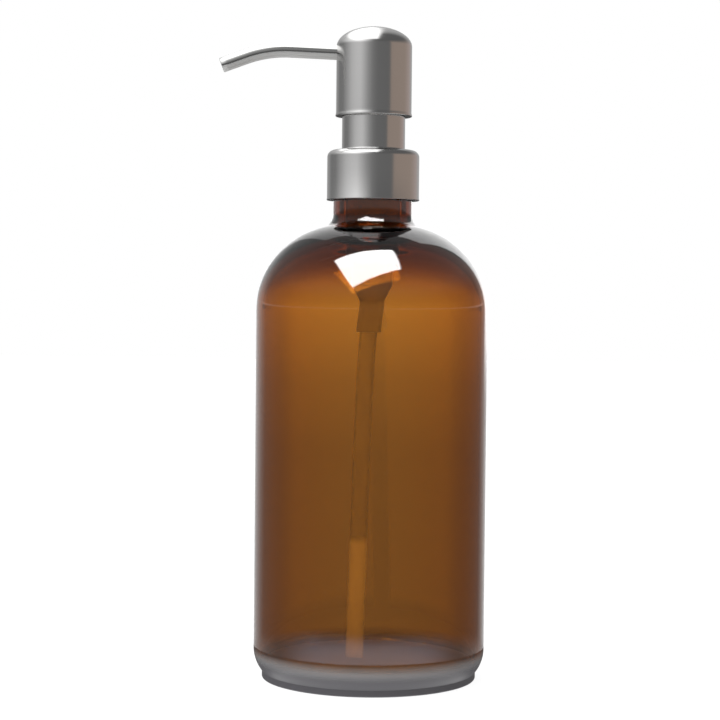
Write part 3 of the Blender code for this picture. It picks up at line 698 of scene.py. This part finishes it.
class World:
    """Small helper that chains math nodes of the world's shader."""

    def __init__(self):
        world = bpy.data.worlds.new("studio")
        bpy.context.scene.world = world
        world.use_nodes = True
        self.nodes = world.node_tree.nodes
        self.links = world.node_tree.links
        self.background = self.nodes["Background"]
        self.direction = self.nodes.new("ShaderNodeTexCoord").outputs["Generated"]
        split = self.nodes.new("ShaderNodeSeparateXYZ")
        self.links.new(self.direction, split.inputs[0])
        self.x, y, self.z = split.outputs
        self.turn = self.math("ARCTAN2", self.x, self.math("MULTIPLY", y, -1.0))
        self.around = self.math("ADD", self.math("DIVIDE", self.turn, math.tau), 0.5)

    def math(self, operation, a, b=0.0, c=0.0):
        node = self.nodes.new("ShaderNodeMath")
        node.operation = operation
        for i, value in enumerate((a, b, c)):
            if isinstance(value, (int, float)):
                node.inputs[i].default_value = value
            else:
                self.links.new(value, node.inputs[i])
        return node.outputs[0]

    def step(self, value, low, high):
        """0 at low, 1 at high, smooth between. low may be the larger of the two."""
        return add_step(self.nodes, self.links, value, low, high)

    def ramp(self, value, stops):
        """Colour ramp from (position, grey or colour) stops."""
        node = self.nodes.new("ShaderNodeValToRGB")
        elements = node.color_ramp.elements
        while len(elements) < len(stops):
            elements.new(0.5)
        for element, (position, colour) in zip(elements, stops):
            element.position = position
            shade = (colour, colour, colour) if isinstance(colour, float) else colour
            element.color = (*shade, 1.0)
        self.links.new(value, node.inputs["Fac"])
        return node.outputs["Color"]

    def scale(self, colour, factor):
        """Multiply a colour by a number."""
        node = self.nodes.new("ShaderNodeVectorMath")
        node.operation = "SCALE"
        self.links.new(colour, node.inputs[0])
        self.links.new(factor, node.inputs["Scale"])
        return node.outputs["Vector"]

    def mix(self, factor, a, b):
        """Mix two colours, each a socket, a grey or three numbers."""
        node = self.nodes.new("ShaderNodeMix")
        node.data_type = "RGBA"
        self.links.new(factor, node.inputs[0])
        for index, value in ((6, a), (7, b)):
            if isinstance(value, (int, float)):
                node.inputs[index].default_value = (value, value, value, 1.0)
            elif isinstance(value, tuple):
                node.inputs[index].default_value = (*value, 1.0)
            else:
                self.links.new(value, node.inputs[index])
        return node.outputs[2]


# Corners of bright panels, as points of a ceiling one unit above the object
SOFTBOX = [(-0.532, -0.18, 1.0), (-0.62, -1.599, 1.0), (0.484, -0.514, 1.0), (0.223, 0.024, 1.0)]
BACKDROP = [(-1.03, 3.90, 1.0), (-0.45, 0.67, 1.0), (0.47, 0.58, 1.0), (2.27, 3.90, 1.0)]
LEFT_PANEL = [
    (-0.25, 1.80, 1.0), (-1.50, -0.30, 1.0), (-1.60, -1.00, 1.0), (0.26, -1.00, 1.0), (0.19, 0.12, 1.0),
    (0.09, 1.80, 1.0),
]


def cone_mask(world, corners, softness, closed):
    """1 inside the planes through the origin and each edge of the corners, 0 outside."""
    mask = None
    edges = list(zip(corners, corners[1:]))
    if closed:
        edges.append((corners[-1], corners[0]))
    for a, b in edges:
        normal = Vector(a).cross(Vector(b)).normalized()
        dot = world.nodes.new("ShaderNodeVectorMath")
        dot.operation = "DOT_PRODUCT"
        dot.inputs[1].default_value = normal
        world.links.new(world.direction, dot.inputs[0])
        side = world.step(dot.outputs["Value"], -softness, softness)
        mask = side if mask is None else world.math("MULTIPLY", mask, side)
    return mask


def metal_studio(world):
    """What satin steel shows: cards all round, a white panel high on the left, a pale table."""
    brown = (0.43, 0.345, 0.295)
    cards = world.ramp(world.around, [
        (0.000, 0.50), (0.108, 0.36), (0.136, 0.25), (0.200, 0.27), (0.256, 0.49), (0.303, 0.70),
        (0.342, 0.78), (0.385, 0.80), (0.402, 0.70), (0.453, 0.40), (0.492, 0.26), (0.531, 0.205),
        (0.569, 0.20), (0.636, 0.19), (0.650, brown), (0.800, brown), (0.870, (0.52, 0.43, 0.40)),
        (0.930, 0.50),
    ])
    high = world.ramp(world.around, [
        (0.00, 0.60), (0.14, 0.70), (0.25, 1.20), (0.38, 1.70), (0.45, 0.80), (0.49, 0.26), (0.53, 0.15),
        (0.85, 0.15), (0.95, 0.50),
    ])
    upper = world.mix(world.step(world.z, 0.15, 0.60), cards, high)
    front = world.mix(world.step(world.z, -0.06, 0.02), 0.11, upper)
    lit = world.mix(cone_mask(world, LEFT_PANEL, 0.08, True), front, 2.0)
    return world.mix(world.step(world.z, -0.60, -0.45), 1.10, lit)


def glass_studio(world):
    """What the glass reflects: a bright backdrop behind, a grey ceiling, low dark cards, a bright table."""
    cards = world.ramp(world.around, [
        (0.00, 1.00), (0.10, 0.60), (0.14, 0.30), (0.25, 0.24), (0.80, 0.20), (0.88, 0.25), (0.94, 0.80),
    ])
    level = world.math("MULTIPLY", world.step(world.z, 0.034, 0.038), world.step(world.z, 0.060, 0.050))
    neck = world.mix(level, cards, 0.68)
    walls = world.mix(world.step(world.z, 0.20, 0.50), neck, 0.42)
    glow = world.math("ADD", 1.65, world.math("MULTIPLY", world.x, 1.6))
    backdrop = cone_mask(world, BACKDROP, 0.01, False)
    backdrop = world.math("MULTIPLY", backdrop, world.step(world.z, -0.06, 0.0))
    room = world.mix(backdrop, walls, glow)
    aside = world.math("ABSOLUTE", world.turn)
    nearby = world.mix(world.step(world.z, -0.20, -0.34), (1.7, 1.95, 2.4), (1.0, 1.05, 1.15))
    table = world.mix(world.step(aside, 0.8, 1.8), nearby, 0.60)
    return world.mix(world.step(world.z, -0.172, -0.184), room, table)


def glass_backlight(world):
    """What is seen through the glass: white behind, grey in front, darker towards the table and above."""
    rise = world.ramp(world.math("ADD", world.z, 0.5), [
        (0.335, 0.39), (0.42, 0.42), (0.455, 0.56), (0.50, 0.97), (0.63, 1.0), (0.68, 0.78), (0.75, 0.52),
        (0.95, 0.3),
    ])
    aside = world.math("ABSOLUTE", world.turn)
    behind = world.step(aside, 1.5, 1.9)
    level = world.math("SUBTRACT", 3.4, world.math("MULTIPLY", behind, 2.4))
    beside = world.math("MULTIPLY", world.step(aside, 1.95, 2.10), world.step(aside, 2.60, 2.45))
    neck = world.math("MULTIPLY", world.step(world.z, -0.005, 0.010), world.step(world.z, 0.070, 0.050))
    shade = world.math("MULTIPLY", world.math("MULTIPLY", beside, neck), -0.85)
    level = world.math("MULTIPLY", level, world.math("ADD", shade, 1.0))
    return world.scale(rise, level)


def make_world():
    """White for the camera; separate surroundings for steel, for glass and for light through the glass."""
    world = World()
    metal, glass, through = metal_studio(world), glass_studio(world), glass_backlight(world)
    path = world.nodes.new("ShaderNodeLightPath")
    reflected = world.mix(path.outputs["Is Singular Ray"], metal, glass)
    around = world.mix(path.outputs["Is Transmission Ray"], reflected, through)
    softbox = cone_mask(world, SOFTBOX, 0.02, True)
    sharp = world.math("MULTIPLY", softbox, path.outputs["Is Singular Ray"])
    lit = world.mix(sharp, around, 22.0)
    seen = world.mix(path.outputs["Is Camera Ray"], lit, 1.0)
    world.links.new(seen, world.background.inputs["Color"])


def make_floor():
    """Plain pale table."""
    bm = bmesh.new()
    bmesh.ops.create_grid(bm, x_segments=1, y_segments=1, size=3.0)
    floor = make_object("floor", bm)
    floor.location.z = BASE_Z - 0.05 * MM
    material = bpy.data.materials.new("table_white")
    material.use_nodes = True
    shader = material.node_tree.nodes["Principled BSDF"]
    set_inputs(shader, {
        "Base Color": (0.16, 0.16, 0.16, 1.0),
        "Roughness": 1.0,
        "Specular IOR Level": 0.0,
        "Emission Color": (1.0, 1.0, 1.0, 1.0),
        "Emission Strength": 0.95,
    })
    floor.data.materials.append(material)
    floor.visible_glossy = False
    floor.visible_transmission = False


def make_camera():
    """Camera a little above the bottle's shoulder, level with the photograph's view."""
    data = bpy.data.cameras.new("camera")
    data.sensor_width = 36.0
    data.lens = 97.0
    data.clip_start = 0.01
    camera = bpy.data.objects.new("camera", data)
    pitch, roll, yaw = math.radians(1.98), math.radians(0.55), math.radians(0.335)
    camera.location = (0.0, -630.0 * MM, 125.0 * MM)
    tilt = Matrix.Rotation(math.pi / 2 - pitch, 4, "X")
    aim = Matrix.Rotation(yaw, 4, "Z") @ tilt @ Matrix.Rotation(roll, 4, "Z")
    camera.rotation_euler = aim.to_euler()
    bpy.context.scene.collection.objects.link(camera)
    bpy.context.scene.camera = camera


build_object()
make_world()
make_floor()
make_camera()
bpy.context.scene.view_settings.view_transform = "Standard"
bpy.context.scene.cycles.max_bounces = 24
bpy.context.scene.cycles.transmission_bounces = 24
bpy.context.scene.cycles.glossy_bounces = 12
